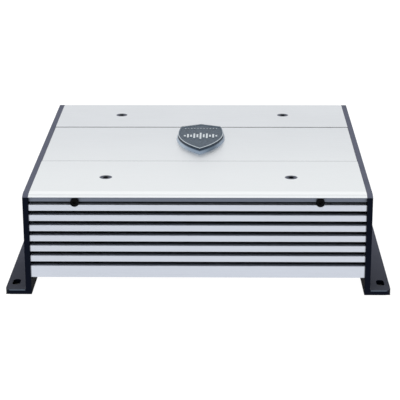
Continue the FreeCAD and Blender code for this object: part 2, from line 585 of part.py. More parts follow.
def clamp_block(size, bore_z, screw_z, top):
    """A plated clamp that stands on the board: a blind wire bore, and a tapped hole above it."""
    y, half, bore, screw = size
    x0, x1 = BLOCK_OUT + BLOCK_WALL, BLOCK_IN - BLOCK_WALL
    thread_end = SET_SCREW_OUT + SET_SCREW_L + SET_SCREW_TRAVEL + 1
    block = box(x0, x1, y - half, y + half, BOARD_TOP, top - BLOCK_CEILING)
    return cut(block, rod(bore, (x0 - 1, y, bore_z), (x0 + WIRE_DEPTH, y, bore_z)),
               rod(screw + 0.05, (x0 - 1, y, screw_z), (thread_end, y, screw_z)))


def power_housing():
    return terminal_housing(POWER_WINDOW, power_clamp_sizes())


def speaker_housing():
    return terminal_housing(SPEAKER_WINDOW, speaker_clamp_sizes())


def terminal_clamps():
    blocks = [clamp_block(size, POWER_BORE_Z, POWER_SCREW_Z, POWER_WINDOW[2]) for size in power_clamp_sizes()]
    blocks += [clamp_block(size, SPEAKER_BORE_Z, SPEAKER_SCREW_Z, SPEAKER_WINDOW[2])
               for size in speaker_clamp_sizes()]
    return group(blocks)


def set_screw(size, screw_z):
    """A hex set screw, shown backed off. Run in, it presses the clamp onto the wire below it."""
    y, _, _, radius = size
    screw = rod(radius, (SET_SCREW_OUT, y, screw_z), (SET_SCREW_OUT + SET_SCREW_L, y, screw_z))
    rims = [e for e in screw.Edges if isinstance(e.Curve, Part.Circle)]
    screw = screw.makeChamfer(0.35, rims)
    return cut(screw, hexagon(radius, (SET_SCREW_OUT - 1, y, screw_z), (SET_SCREW_OUT + 3.2, y, screw_z)))


def fuse_holder():
    """A moulded holder with a well for each fuse and a round finger relief at each mouth."""
    y0, y1, top = FUSE_WINDOW
    shell = rounded_box(BLOCK_OUT, FUSE_HOLDER_IN, y0, y1, BOARD_TOP, top, 0.8, 0)
    tools = []
    for y in FUSE_Y:
        tools.append(box(BLOCK_OUT - 1, FUSE_SEAT + 0.2, y - 2.8, y + 2.8, FUSE_Z - 9.9, FUSE_Z + 9.9))
        tools.append(rod(4.6, (BLOCK_OUT - 1, y, FUSE_Z), (BLOCK_OUT + 5, y, FUSE_Z)))
        for s in (-BLADE_Z, BLADE_Z):
            z = FUSE_Z + s
            tools.append(box(FUSE_SEAT - 1, FUSE_SEAT + 9.0, y - 1.4, y + 1.4, z - 3.1, z + 3.1))
    return cut(shell, *tools)


def fuse_clips():
    """Sprung contacts, one pair of leaves for each blade."""
    clips = []
    for y in FUSE_Y:
        for s in (-BLADE_Z, BLADE_Z):
            for side in (-1, 1):
                y0 = y + side * 0.9
                clips.append(box(FUSE_SEAT + 1.0, FUSE_SEAT + 8.6, min(y0, y0 + side * 0.45),
                                 max(y0, y0 + side * 0.45), FUSE_Z + s - 2.8, FUSE_Z + s + 2.8))
    return group(clips)


def fuse_body(y):
    """A blade fuse's plastic body: a grip with a shoulder, and a waist that shows the element."""
    x0 = FUSE_SEAT - FUSE_BODY_L
    grip = rounded_box(x0, x0 + 7.5, y - 2.5, y + 2.5, FUSE_Z - 9.5, FUSE_Z + 9.5, 0.6, 0)
    root = box(x0 + 7.5, FUSE_SEAT, y - 1.9, y + 1.9, FUSE_Z - 9.2, FUSE_Z + 9.2)
    return cut(join(grip, root), box(x0 - 1, x0 + 1.2, y - 0.9, y + 0.9, FUSE_Z - 6.5, FUSE_Z + 6.5))


def fuse_blades(y):
    return group([box(FUSE_SEAT, FUSE_SEAT + 7.6, y - 0.35, y + 0.35, FUSE_Z + s - 2.6, FUSE_Z + s + 2.6)
                  for s in (-BLADE_Z, BLADE_Z)])


# ---- Signal end: controls and jacks -------------------------------------------------------------
def control_board():
    return box(CONTROL_X, CONTROL_FACE, LED_Y - 4, REMOTE_JACK_Y + 8, BOARD_TOP, SHELF_UNDER - 0.8)


def potentiometers():
    pots = []
    for _, y in KNOBS:
        body = rounded_box(CONTROL_FACE, CONTROL_FACE + POT_T, y - 5.5, y + 5.5,
                           KNOB_Z - 5.5, KNOB_Z + 5.5, 0.8, 0)
        bush = rod(3.0, (CONTROL_FACE + POT_T, y, KNOB_Z), (CONTROL_FACE + POT_T + 2.5, y, KNOB_Z))
        bore = rod(1.55, (CONTROL_FACE + 2, y, KNOB_Z), (CONTROL_FACE + POT_T + 5, y, KNOB_Z))
        pots.append(cut(join(body, bush), bore))
    return group(pots)


def knob(y):
    """A fluted knob on its own spindle, with a pointer slot across its face."""
    back = CONTROL_FACE + POT_T + 3.0
    head = rod(KNOB_R, (back, y, KNOB_Z), (KNOB_OUT, y, KNOB_Z))
    rim = [e for e in head.Edges if isinstance(e.Curve, Part.Circle) and e.CenterOfMass.x > KNOB_OUT - 0.1]
    head = head.makeChamfer(0.5, rim)
    spindle = rod(1.5, (CONTROL_FACE + 2.2, y, KNOB_Z), (back, y, KNOB_Z))
    flutes = []
    for k in range(16):
        turn = math.radians(22.5 * (k + 0.5))
        fy, fz = y + (KNOB_R + 0.15) * math.cos(turn), KNOB_Z + (KNOB_R + 0.15) * math.sin(turn)
        flutes.append(rod(0.45, (HALF_BODY, fy, fz), (KNOB_OUT + 1, fy, fz)))
    pointer = box(KNOB_OUT - 0.8, KNOB_OUT + 1, y - 0.45, y + 0.45, KNOB_Z + 0.3, KNOB_Z + KNOB_R + 1)
    return cut(join(head, spindle), pointer, *flutes)


def switch_bodies():
    """Three-position slide switches, each with a window that its lever runs in."""
    bodies = []
    for _, y in SWITCHES:
        body = box(CONTROL_FACE, CONTROL_FACE + 6, y - 7, y + 7, SWITCH_Z - 3.2, SWITCH_Z + 3.2)
        window = box(CONTROL_FACE + 2.5, CONTROL_FACE + 7, y - 3.9, y + 3.9, SWITCH_Z - 1.6, SWITCH_Z + 1.6)
        bodies.append(cut(body, window))
    return group(bodies)


def switch_lever(y):
    """The lever, with three ridges across its tip."""
    stem = box(CONTROL_FACE + 2.7, HALF_SPAN - 0.5, y - 1.5, y + 1.5, SWITCH_Z - 1.5, SWITCH_Z + 1.5)
    grooves = [box(HALF_SPAN - 1.0, HALF_SPAN, y + s - 0.25, y + s + 0.25, SWITCH_Z - 2, SWITCH_Z + 2)
               for s in (-0.75, 0.0, 0.75)]
    return cut(stem, *grooves)


def rca_block():
    """The moulded body of the phono sockets, with a recess that leaves room round each for its plug."""
    block = rounded_box(CONTROL_FACE, HALF_SPAN - 0.1, RCA_Y[0] - 9, RCA_Y[1] + 9,
                        BOARD_TOP, RCA_Z[1] + 6.8, 0.8, 0)
    y0, y1, z0, z1 = RCA_RECESS
    recess = rounded_box(RCA_SEAT, HALF_SPAN + 1, y0, y1, z0, z1, 0.8, 0)
    return cut(block, recess, *[rod(RCA_R, (CONTROL_FACE + 2, y, z), (HALF_BODY, y, z))
                                for y in RCA_Y for z in RCA_Z])


def rca_shells():
    """Plated outer contacts, each a tube with a collar at the bottom of the recess."""
    shells = []
    for y in RCA_Y:
        for z in RCA_Z:
            tube = rod(RCA_R, (CONTROL_FACE + 2, y, z), (RCA_OUT, y, z))
            collar = rod(RCA_R + 0.8, (RCA_SEAT, y, z), (RCA_SEAT + 0.8, y, z))
            bore = rod(3.3, (CONTROL_FACE + 1, y, z), (RCA_OUT + 1, y, z))
            tube = cut(join(tube, collar), bore)
            rim = [e for e in tube.Edges if isinstance(e.Curve, Part.Circle)
                   and e.CenterOfMass.x > RCA_OUT - 0.1 and e.Curve.Radius > 4]
            shells.append(tube.makeChamfer(0.35, rim))
    return group(shells)


def rca_inserts():
    """Coloured insulators with the hole that takes the plug's pin."""
    return group([cut(rod(3.3, (CONTROL_FACE + 2, y, z), (RCA_OUT - 0.8, y, z)),
                      rod(1.6, (CONTROL_FACE + 3, y, z), (RCA_OUT, y, z))) for y in RCA_Y for z in RCA_Z])


def remote_jack():
    y, z = REMOTE_JACK_Y, REMOTE_JACK_Z
    body = box(CONTROL_FACE, HALF_BODY - 0.4, y - 5, y + 5, z - 5.5, z + 5.5)
    neck = rod(3.0, (HALF_BODY - 0.4, y, z), (HALF_SPAN - 0.1, y, z))
    return cut(join(body, neck), rod(1.8, (CONTROL_FACE + 2, y, z), (HALF_SPAN + 4, y, z)))


def status_lenses():
    """Light pipes from the control board to the bracket's face."""
    lenses = []
    for z in LED_Z:
        pipe = rod(1.5, (CONTROL_FACE, LED_Y, z), (HALF_SPAN - 0.1, LED_Y, z))
        lenses.append(join(pipe, rod(2.2, (CONTROL_FACE, LED_Y, z), (HALF_BODY - 0.4, LED_Y, z))))
    return group(lenses)


# ---- The whole amplifier ------------------------------------------------------------------------
def nodes():
    made = {
        "heatsink_front": heatsink(FRONT_SCREW_Y),
        "heatsink_rear": mirrored_y(heatsink(REAR_SCREW_Y)),
        "top_panel_front": top_panel(FRONT_SEAM_Y, FRONT_SCREW_Y),
        "top_panel_rear": mirrored_y(top_panel(REAR_SEAM_Y, REAR_SCREW_Y)),
        "top_panel_center": centre_panel(),
        "end_bracket_left": left_bracket(),
        "end_bracket_right": right_bracket(),
        "bottom_plate": bottom_plate(),
        "badge_base": badge_base(),
        "badge_face": badge_face(),
        "badge_nuts": badge_nuts(),
        "top_screws": top_screws(),
        "lip_screws": lip_screws(),
        "bracket_screws": bracket_screws(),
        "bottom_screws": bottom_screws(),
        "board_standoffs": standoffs(),
        "board_screws": board_screws(),
        "main_board": main_board(),
        "thermal_pads": thermal_pads(),
        "power_transistors": group(transistor_row() + [mirrored_y(s) for s in transistor_row()]),
        "clamp_bars": clamp_bars(),
        "clamp_screws": clamp_screws(),
        "transformer_core": transformer_core(),
        "transformer_winding": transformer_winding(),
        "transformer_mount": transformer_mount(),
        "input_choke": input_choke(),
        "rail_capacitors": rail_capacitors(),
        "input_capacitors": input_capacitors(),
        "sense_resistors": sense_resistors(),
        "driver_board": driver_board(),
        "control_board": control_board(),
        "power_terminal_housing": power_housing(),
        "terminal_clamps": terminal_clamps(),
        "speaker_terminal_housing": speaker_housing(),
        "fuse_holder": fuse_holder(),
        "fuse_clips": fuse_clips(),
        "potentiometers": potentiometers(),
        "slide_switches": switch_bodies(),
        "rca_block": rca_block(),
        "rca_shells": rca_shells(),
        "rca_inserts": rca_inserts(),
        "remote_jack": remote_jack(),
        "status_lenses": status_lenses(),
    }
    for (name, _), size in zip(POWER_TERMINALS, power_clamp_sizes()):
        made["power_screw_" + name] = set_screw(size, POWER_SCREW_Z)
    for number, size in enumerate(speaker_clamp_sizes(), 1):
        made[f"speaker_screw_{number}"] = set_screw(size, SPEAKER_SCREW_Z)
    for number, y in enumerate(FUSE_Y, 1):
        made[f"fuse_{number}"] = fuse_body(y)
        made[f"fuse_{number}_blades"] = fuse_blades(y)
    for name, y in KNOBS:
        made["knob_" + name] = knob(y)
    for name, y in SWITCHES:
        made["switch_lever_" + name] = switch_lever(y)
    return made


def main():
    os.makedirs("parts", exist_ok=True)
    for name, shape in nodes().items():
        if not shape.isValid() or not shape.Solids:
            print("not a valid solid:", name)
        shape.exportStep(f"parts/{name}.step")


main()
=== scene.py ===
"""The car amplifier in a plain pale studio: finishes for every CAD node, the badge, and the small printed details."""

import json
import math

import bmesh
import bpy
from mathutils import Euler, Matrix, Vector


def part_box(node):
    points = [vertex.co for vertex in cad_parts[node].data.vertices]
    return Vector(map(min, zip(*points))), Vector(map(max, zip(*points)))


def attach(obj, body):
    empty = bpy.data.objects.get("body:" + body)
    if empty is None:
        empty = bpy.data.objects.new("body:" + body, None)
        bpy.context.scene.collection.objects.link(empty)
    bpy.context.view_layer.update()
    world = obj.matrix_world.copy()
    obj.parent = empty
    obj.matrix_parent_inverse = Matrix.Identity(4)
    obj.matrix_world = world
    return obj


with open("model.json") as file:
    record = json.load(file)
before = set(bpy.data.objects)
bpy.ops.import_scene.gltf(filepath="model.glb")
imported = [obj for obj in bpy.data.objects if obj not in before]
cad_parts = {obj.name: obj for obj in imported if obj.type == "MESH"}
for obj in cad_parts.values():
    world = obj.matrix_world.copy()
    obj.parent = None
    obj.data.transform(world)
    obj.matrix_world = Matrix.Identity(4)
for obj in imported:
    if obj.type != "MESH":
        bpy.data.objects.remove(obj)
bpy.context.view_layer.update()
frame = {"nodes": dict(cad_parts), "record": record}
MM = 0.001

# ---- Sizes read from the frame --------------------------------------------------------------------
PANEL_LOW, PANEL_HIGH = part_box("top_panel_front")
NOSE_Y = -PANEL_LOW.y                      # |Y| of the front and rear noses
NOSE_RUN = 6.0 * MM                        # how far each nose's curve reaches back
TOP_Z = PANEL_HIGH.z
PANEL_END = PANEL_HIGH.x                   # |X| where the fins and panels meet the brackets
RIGHT_FACE = PANEL_END + 3.8 * MM          # outer face of each end bracket's plate
LEFT_FACE = -RIGHT_FACE
FOOT_EDGE = -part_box("end_bracket_left")[0].x     # |X| of each foot's outer edge
FOOT_TOP = 3.2 * MM
LIP_Z = TOP_Z - 1.95 * MM                  # underside of the overhanging nose
SCREWS_LOW, SCREWS_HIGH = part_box("top_screws")
SCREW_HEAD = 4.0 * MM                      # radius of the top screws' heads


# ---- Materials ------------------------------------------------------------------------------------
class Surface:
    """A node material under construction, with a short call for each kind of node that the finishes use."""

    def __init__(self, name, colour, metallic=0.0, roughness=0.5, **sockets):
        self.material = bpy.data.materials.new(name)
        self.material.use_nodes = True
        self.tree = self.material.node_tree
        self.shader = self.tree.nodes["Principled BSDF"]
        self.set("Base Color", (*colour, 1.0))
        self.set("Metallic", metallic)
        self.set("Roughness", roughness)
        for socket, value in sockets.items():
            self.set(socket.replace("_", " "), value)
        self.place = self.tree.nodes.new("ShaderNodeTexCoord").outputs["Object"]
        self.height = None

    def set(self, socket, value):
        target = self.shader.inputs[socket]
        if isinstance(value, bpy.types.NodeSocket):
            self.tree.links.new(value, target)
        else:
            target.default_value = value

    def node(self, kind, inputs, **settings):
        made = self.tree.nodes.new(kind)
        for key, value in settings.items():
            setattr(made, key, value)
        for key, value in inputs.items():
            if isinstance(value, bpy.types.NodeSocket):
                self.tree.links.new(value, made.inputs[key])
            else:
                made.inputs[key].default_value = value
        return made

    def noise(self, size, detail=3.0, stretch=(1, 1, 1)):
        """Noise whose grains are about size metres across, drawn out by stretch along each axis."""
        scaled = self.node("ShaderNodeMapping", {"Vector": self.place, "Scale": [1 / (size * s) for s in stretch]})
        made = self.node("ShaderNodeTexNoise", {"Vector": scaled.outputs[0], "Scale": 1.0, "Detail": detail,
                                                "Roughness": 0.55})
        return made.outputs["Fac"]

    def cells(self, size, feature="F1"):
        scaled = self.node("ShaderNodeMapping", {"Vector": self.place, "Scale": [1 / size] * 3})
        return self.node("ShaderNodeTexVoronoi", {"Vector": scaled.outputs[0], "Scale": 1.0},
                         feature=feature).outputs["Distance"]

    def remap(self, value, low, high, to_low, to_high):
        made = self.node("ShaderNodeMapRange", {"Value": value, "From Min": low, "From Max": high,
                                                "To Min": to_low, "To Max": to_high}, interpolation_type="SMOOTHSTEP")
        return made.outputs["Result"]

    def math(self, operation, a, b=0.0):
        return self.node("ShaderNodeMath", {0: a, 1: b}, operation=operation).outputs[0]

    def axis(self, name):
        return self.node("ShaderNodeSeparateXYZ", {0: self.place}).outputs[name]

    def facing(self, name):
        """The surface normal's part along one axis of the object."""
        normal = self.tree.nodes.new("ShaderNodeTexCoord").outputs["Normal"]
        return self.node("ShaderNodeSeparateXYZ", {0: normal}).outputs[name]

    def blend(self, share, first, second):
        made = self.node("ShaderNodeMix", {"Factor": share}, data_type="RGBA")
        for index, value in ((6, first), (7, second)):
            if isinstance(value, bpy.types.NodeSocket):
                self.tree.links.new(value, made.inputs[index])
            else:
                made.inputs[index].default_value = (*value, 1.0)
        return made.outputs[2]

    def edges(self, radius):
        """About 0 on flats, rising towards 1 on edges sharper than radius."""
        soft = self.node("ShaderNodeBevel", {"Radius": radius}, samples=6).outputs[0]
        true = self.tree.nodes.new("ShaderNodeNewGeometry").outputs["Normal"]
        dot = self.node("ShaderNodeVectorMath", {0: soft, 1: true}, operation="DOT_PRODUCT").outputs["Value"]
        return self.remap(dot, 0.97, 0.80, 0.0, 1.0)

    def relief(self, height, depth):
        """Adds bump of that depth in metres. Later calls build on earlier ones."""
        made = self.node("ShaderNodeBump", {"Height": height, "Distance": depth, "Strength": 1.0})
        if self.height is not None:
            self.tree.links.new(self.height, made.inputs["Normal"])
        self.height = made.outputs[0]
        self.set("Normal", self.height)

    def soften(self, radius):
        """Rounds the shading of hard edges. It comes before any relief."""
        self.height = self.node("ShaderNodeBevel", {"Radius": radius}, samples=6).outputs[0]
        self.set("Normal", self.height)


def anodised(name, colour, roughness, grain, shading=None):
    """Satin anodised aluminium: fine blasted grain, faint drawing lines along X, brighter worn edges.

    shading(s, tone) may add the painted shade and painted light of one kind of part, such as darker hollows."""
    s = Surface(name, colour, metallic=1.0, roughness=roughness)
    s.soften(0.35 * MM)
    lines = s.noise(0.5 * MM, 4, (60, 1, 1))
    blasted = s.noise(0.22 * MM, 2)
    cloud = s.noise(45 * MM, 3)
    worn = s.math("MULTIPLY", s.edges(0.4 * MM), s.remap(s.noise(2.5 * MM), 0.45, 0.62, 0.25, 1.0))
    tone = s.blend(s.remap(cloud, 0.3, 0.7, 0.0, 1.0), [c * 0.975 for c in colour], colour)
    tone = s.blend(s.math("MULTIPLY", s.remap(lines, 0.3, 0.7, 0.0, 1.0), 0.16), tone, [c * 0.86 for c in colour])
    tone = s.blend(s.math("MULTIPLY", worn, 0.55), tone, [min(1.0, c * 1.12) for c in colour])
    s.set("Base Color", shading(s, tone) if shading else tone)
    base = s.remap(s.math("ADD", s.math("MULTIPLY", lines, 0.6), s.math("MULTIPLY", blasted, 0.4)),
                   0.3, 0.7, roughness - 0.05, roughness + 0.06)
    s.set("Roughness", s.math("SUBTRACT", base, s.math("MULTIPLY", worn, 0.08)))
    s.relief(lines, 0.006 * MM * grain)
    s.relief(blasted, 0.010 * MM * grain)
    return s.material


def fin_shading(s, tone):
    """Painted shade: darkens the grooves with depth, and the last 0.7 mm of each fin beside the brackets."""
    depth = s.math("SUBTRACT", NOSE_Y, s.math("ABSOLUTE", s.axis("Y")))
    top_fin = s.remap(s.axis("Z"), LIP_Z - 6.0 * MM, LIP_Z - 5.0 * MM, 0.0, 1.5 * MM)
    inside = s.remap(s.math("SUBTRACT", depth, top_fin), 0.35 * MM, 0.8 * MM, 0.0, 1.0)
    # painted shade: the grooves grow darker with depth
    groove_shade = s.blend(s.remap(depth, 0.6 * MM, 6.5 * MM, 0.0, 1.0), (0.235, 0.26, 0.32), (0.006, 0.009, 0.016))
    # painted shade on the last 0.7 mm of each fin beside the brackets
    end = s.remap(s.math("ABSOLUTE", s.axis("X")), PANEL_END - 0.8 * MM, PANEL_END - 0.1 * MM, 0.0, 0.75)
    s.set("Metallic", s.math("SUBTRACT", 1.0, inside))
    return s.blend(inside, s.blend(end, tone, (0.03, 0.035, 0.05)), groove_shade)


def screw_reach(s, stretch=1.0):
    """How far a point lies from the axis of the nearest top screw, with lengths along Y scaled by stretch."""
    across = s.math("SUBTRACT", s.math("ABSOLUTE", s.axis("X")), SCREWS_HIGH.x - SCREW_HEAD)
    front = s.math("SUBTRACT", s.axis("Y"), SCREWS_LOW.y + SCREW_HEAD)
    rear = s.math("SUBTRACT", s.axis("Y"), SCREWS_HIGH.y - SCREW_HEAD)
    along = s.math("MULTIPLY", s.math("MINIMUM", s.math("ABSOLUTE", front), s.math("ABSOLUTE", rear)), stretch)
    return s.math("SQRT", s.math("ADD", s.math("MULTIPLY", across, across), s.math("MULTIPLY", along, along)))


def panel_shading(s, tone):
    """Painted light brighter towards the front, most of all just behind the front nose, and painted shade on the
    noses' curve, under the lip, round the top screws and inside the joints."""
    # painted light: the panels grow brighter towards the front
    front = s.remap(s.axis("Y"), 0.6 * NOSE_Y, -NOSE_Y, 0.0, 1.0)
    tone = s.blend(front, tone, PANEL_FRONT_LIT)
    reach = s.math("ABSOLUTE", s.axis("Y"))
    # painted highlight on a strip just behind the front nose, where the panel starts to curve down
    bend_highlight = s.remap(s.axis("Y"), NOSE_RUN + 4.0 * MM - NOSE_Y, NOSE_RUN + 2.0 * MM - NOSE_Y, 0.0, 1.0)
    tone = s.blend(bend_highlight, tone, PANEL_BEND_HIGHLIGHT)
    # painted shade on the curve of both noses, darker than the painted light behind the front one
    tone = s.blend(s.remap(reach, NOSE_Y - 0.75 * NOSE_RUN, NOSE_Y - 0.4 * NOSE_RUN, 0.0, 1.0), tone, PANEL_NOSE_SHADE)
    # painted shade on the lip under the nose's overhang
    tone = s.blend(s.remap(s.axis("Z"), LIP_Z + 0.2 * MM, LIP_Z + 0.7 * MM, 1.0, 0.0), tone, (0.160, 0.180, 0.225))
    # painted shadow in a ring round each top screw
    tone = s.blend(s.remap(screw_reach(s), SCREW_HEAD, SCREW_HEAD + 0.6 * MM, 0.85, 0.0), tone, (0.10, 0.11, 0.13))
    # painted shade on the walls inside the joints between the panels
    joint_shade = s.math("MULTIPLY", s.math("ABSOLUTE", s.facing("Y")), s.remap(reach, 60 * MM, 70 * MM, 1.0, 0.0))
    return s.blend(joint_shade, tone, (0.04, 0.045, 0.06))


def coat(s, tone, roughness):
    """Covers a surface in powder coat: orange peel, a little dust, thin wear on the sharpest edges."""
    s.soften(0.4 * MM)
    peel = s.noise(0.9 * MM, 2)
    speck = s.noise(0.18 * MM, 2)
    dust = s.remap(s.noise(30 * MM, 5), 0.48, 0.75, 0.0, 1.0)
    worn = s.math("MULTIPLY", s.edges(0.25 * MM), s.remap(s.noise(3 * MM, 5), 0.58, 0.70, 0.0, 1.0))
    tone = s.blend(s.math("MULTIPLY", dust, 0.05), tone, (0.03, 0.03, 0.032))
    s.set("Base Color", s.blend(s.math("MULTIPLY", worn, 0.35), tone, (0.16, 0.16, 0.17)))
    patchy = s.remap(s.math("ADD", s.math("MULTIPLY", speck, 0.5), s.math("MULTIPLY", dust, 0.4)),
                     0.1, 0.8, -0.06, 0.12)
    s.set("Roughness", s.math("ADD", roughness, patchy))
    s.relief(peel, 0.035 * MM)
    s.relief(speck, 0.010 * MM)
    return s.material


def powder_coat(name, colour, roughness, specular):
    return coat(Surface(name, colour, roughness=roughness, Specular_IOR_Level=specular), colour, roughness)


def bracket_paint(name):
    """The end brackets' navy-black paint, with painted sheen greyer along the top edge and paler on up-facing faces
    such as the feet, a painted highlight on each foot's front top edge, and painted shade near black on the dull
    inner faces.
    """
    s = Surface(name, BLACK, roughness=0.4, Specular_IOR_Level=0.05)
    up = s.remap(s.facing("Z"), 0.55, 0.95, 0.0, 1.0)
    outwards = s.math("MULTIPLY", s.facing("X"), s.math("SIGN", s.axis("X")))
    inner = s.remap(outwards, -0.9, -0.5, 1.0, 0.0)
    # painted sheen: up-facing faces such as the feet paler, most of all midway along Y
    tone = s.blend(up, BLACK, s.blend(s.remap(s.math("ABSOLUTE", s.axis("Y")), NOSE_Y, 0.0, 0.0, 1.0),
                                   FOOT_END_SHEEN, FOOT_MIDDLE_SHEEN))
    # painted sheen: a greyer strip along the bracket's top edge
    high = s.math("MULTIPLY", up, s.remap(s.axis("Z"), TOP_Z - 3.0 * MM, TOP_Z - 1.0 * MM, 0.0, 1.0))
    tone = s.blend(high, tone, BRACKET_TOP_SHEEN)
    # painted shade: inner faces near black
    tone = s.blend(inner, tone, (0.0012, 0.0014, 0.003))
    # painted highlight: a thin pale line along each foot's front top edge, outside the plate
    ends = s.remap(s.math("ABSOLUTE", s.axis("Y")), NOSE_Y - 0.5 * MM, NOSE_Y - 0.2 * MM, 0.0, 1.0)
    highlight_band = s.math("MULTIPLY", s.remap(s.axis("Z"), FOOT_TOP - 0.55 * MM, FOOT_TOP - 0.45 * MM, 0.0, 1.0),
                  s.remap(s.axis("Z"), FOOT_TOP, FOOT_TOP + 0.1 * MM, 1.0, 0.0))
    beyond = s.remap(s.math("ABSOLUTE", s.axis("X")), RIGHT_FACE, RIGHT_FACE + 1.0 * MM, 0.0, 1.0)
    tone = s.blend(s.math("MULTIPLY", s.math("MULTIPLY", ends, highlight_band), beyond), tone, (0.10, 0.13, 0.17))
    dull = s.math("ADD", s.math("MULTIPLY", up, 0.30), s.math("MULTIPLY", inner, 0.50))
    return coat(s, tone, s.math("ADD", dull, 0.40))


def moulded(name, colour, roughness, gloss=0.4):
    """Moulded plastic: fine spark texture, slight tone drift, paler rubbed edges."""
    s = Surface(name, colour, roughness=roughness, Specular_IOR_Level=gloss)
    s.soften(0.2 * MM)
    spark = s.noise(0.16 * MM, 3)
    drift = s.noise(9 * MM, 3)
    rubbed = s.math("MULTIPLY", s.edges(0.25 * MM), s.remap(s.noise(1.6 * MM), 0.45, 0.65, 0.2, 1.0))
    tone = s.blend(s.remap(drift, 0.3, 0.7, 0.0, 1.0), [c * 0.88 for c in colour],
                   [min(1.0, c * 1.12 + 0.003) for c in colour])
    tone = s.blend(s.math("MULTIPLY", rubbed, 0.30), tone, [min(1.0, c * 1.5 + 0.05) for c in colour])
    s.set("Base Color", tone)
    s.set("Roughness", s.remap(spark, 0.25, 0.75, roughness - 0.09, roughness + 0.09))
    s.relief(spark, 0.012 * MM)
    return s.material


def plated(name, colour, roughness=0.25, tarnish=(0.25, 0.2, 0.12), hollow=None, glancing=1.0):
    """Plated or machined metal: turning marks, small tarnish spots, brighter edges.

    hollow(s) may give the share of shadow inside its holes. glancing is how bright it gets when seen edge-on."""
    s = Surface(name, colour, metallic=1.0, roughness=roughness, Specular_Tint=(glancing, glancing, glancing, 1.0))
    s.soften(0.15 * MM)
    marks = s.noise(0.12 * MM, 4, (1, 6, 1))
    spots = s.remap(s.noise(1.3 * MM, 5), 0.56, 0.72, 0.0, 1.0)
    tone = s.blend(s.math("MULTIPLY", spots, 0.30), colour, tarnish)
    tone = s.blend(s.math("MULTIPLY", s.edges(0.2 * MM), 0.5), tone, [min(1.0, c * 1.15) for c in colour])
    if hollow:
        tone = s.blend(hollow(s), tone, [c * 0.04 for c in colour])
    s.set("Base Color", tone)
    s.set("Roughness", s.remap(s.math("ADD", s.math("MULTIPLY", marks, 0.5), s.math("MULTIPLY", spots, 0.5)),
                               0.1, 0.8, roughness - 0.08, roughness + 0.18))
    s.relief(marks, 0.006 * MM)
    return s.material


def solder_mask(name):
    """Circuit board: green mask over copper tracks, with the glass weave just showing."""
    green, track = (0.012, 0.085, 0.035), (0.030, 0.150, 0.060)
    s = Surface(name, green, roughness=0.32, Specular_IOR_Level=0.55)
    scaled = s.node("ShaderNodeMapping", {"Vector": s.place, "Scale": [230, 230, 230]}).outputs[0]
    bricks = s.node("ShaderNodeTexBrick", {"Vector": scaled, "Color1": (0, 0, 0, 1), "Color2": (1, 1, 1, 1),
                                           "Mortar": (1, 1, 1, 1), "Scale": 1.0, "Mortar Size": 0.06},
                    offset=0.35).outputs["Color"]
    weave = s.node("ShaderNodeTexWave", {"Vector": s.place, "Scale": 700.0, "Distortion": 1.5, "Detail": 1.0})
    s.set("Base Color", s.blend(s.math("MULTIPLY", bricks, 0.8), green, track))
    s.set("Roughness", s.remap(s.noise(4 * MM), 0.3, 0.7, 0.26, 0.42))
    s.relief(bricks, 0.035 * MM)
    s.relief(weave.outputs["Fac"], 0.008 * MM)
    return s.material


def wound_copper(name):
    """Enamelled wire laid side by side: fine ridges round the ring, with amber varnish."""
    s = Surface(name, (0.62, 0.24, 0.08), metallic=1.0, roughness=0.28, Coat_Weight=0.6, Coat_Roughness=0.15)
    wire = s.node("ShaderNodeTexWave", {"Vector": s.place, "Scale": 330.0, "Distortion": 2.0, "Detail": 1.0,
                                        "Detail Scale": 0.6}, rings_direction="Z", wave_type="RINGS").outputs["Fac"]
    s.set("Base Color", s.blend(s.remap(wire, 0.1, 0.9, 0.0, 1.0), (0.22, 0.07, 0.02), (0.72, 0.30, 0.11)))
    s.set("Roughness", s.remap(s.noise(2 * MM), 0.3, 0.7, 0.22, 0.38))
    s.relief(wire, 0.25 * MM)
    return s.material


def mineral(name, colour, grain_size, roughness=0.75):
    """Ferrite, cement or silicone: a dull grainy body with pits."""
    s = Surface(name, colour, roughness=roughness)
    grain = s.cells(grain_size)
    light = [min(1.0, c * 1.15) for c in colour]
    s.set("Base Color", s.blend(s.remap(grain, 0.1, 0.8, 0.0, 1.0), [c * 0.8 for c in colour], light))
    s.set("Roughness", s.remap(s.noise(grain_size * 3), 0.3, 0.7, roughness - 0.08, roughness + 0.1))
    s.relief(grain, 0.05 * MM)
    return s.material


def capacitor_sleeve(name):
    """Shrink sleeve on a can: dark blue sides with a pale stripe, bare aluminium on top."""
    blue, bare = (0.012, 0.022, 0.075), (0.66, 0.67, 0.68)
    s = Surface(name, blue, roughness=0.25)
    top = s.remap(s.facing("Z"), 0.75, 0.9, 0.0, 1.0)
    stripe = s.remap(s.facing("X"), 0.90, 0.93, 0.0, 0.85)
    tone = s.blend(stripe, blue, (0.45, 0.48, 0.52))
    s.set("Base Color", s.blend(top, tone, bare))
    s.set("Metallic", top)
    s.set("Roughness", s.remap(s.noise(1.5 * MM), 0.3, 0.7, 0.20, 0.36))
    s.relief(s.noise(0.8 * MM, 3), 0.03 * MM)
    return s.material


def fuse_plastic(name):
    """Clear tinted plastic with faint flow marks."""
    s = Surface(name, (0.90, 0.30, 0.02), roughness=0.18, Transmission_Weight=0.45, IOR=1.55)
    flow = s.noise(2.2 * MM, 3, (1, 1, 3))
    s.set("Base Color", s.blend(s.remap(flow, 0.3, 0.7, 0.0, 1.0), (0.80, 0.22, 0.01), (0.95, 0.38, 0.04)))
    s.set("Roughness", s.remap(s.noise(0.5 * MM), 0.3, 0.7, 0.13, 0.26))
    s.relief(flow, 0.02 * MM)
    return s.material


